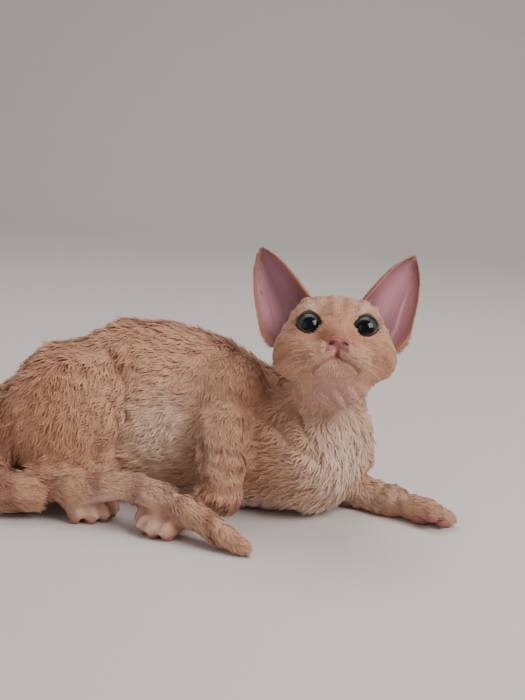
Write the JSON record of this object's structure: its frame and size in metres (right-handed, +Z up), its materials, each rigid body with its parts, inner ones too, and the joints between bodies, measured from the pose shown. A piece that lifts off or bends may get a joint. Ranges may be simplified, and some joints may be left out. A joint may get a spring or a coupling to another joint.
{
  "type": "devon rex kitten model",
  "caption": "Life-size still model of a lying Devon Rex kitten with a short wavy red and cream tabby coat, large upright ears and a raised head.",
  "frame": {"origin": "on the flat of the belly, at the level of the floor, below the middle of the trunk", "axes": "+X towards the forequarters, along the trunk; +Y towards the cat's left side; +Z up. The head faces -Y"},
  "size_m": [0.2831, 0.1538, 0.145],
  "materials": {
    "coat": "short soft wavy fur, matte",
    "ear_skin": "thin bare skin, matte",
    "nose_leather": "fine-grained, slightly moist",
    "eye": "wet, polished",
    "claw": "horn, satin"
  },
  "bodies": {
    "root": {"ear_left": "ear_skin", "ear_right": "ear_skin", "eye_left": "eye", "eye_right": "eye", "forearm_left": "coat", "forearm_right": "coat", "forepaw_left": "coat", "forepaw_right": "coat", "head": "coat", "hindpaw_left": "coat", "hindpaw_right": "coat", "neck": "coat", "nose": "nose_leather", "shank_left": "coat", "shank_right": "coat", "shoulder_left": "coat", "shoulder_right": "coat", "tail_base": "coat", "tail_middle": "coat", "tail_root": "coat", "tail_tip": "coat", "thigh_left": "coat", "thigh_right": "coat", "trunk": "coat", "upper_arm_left": "coat", "upper_arm_right": "coat"}
  },
  "joints": []
}
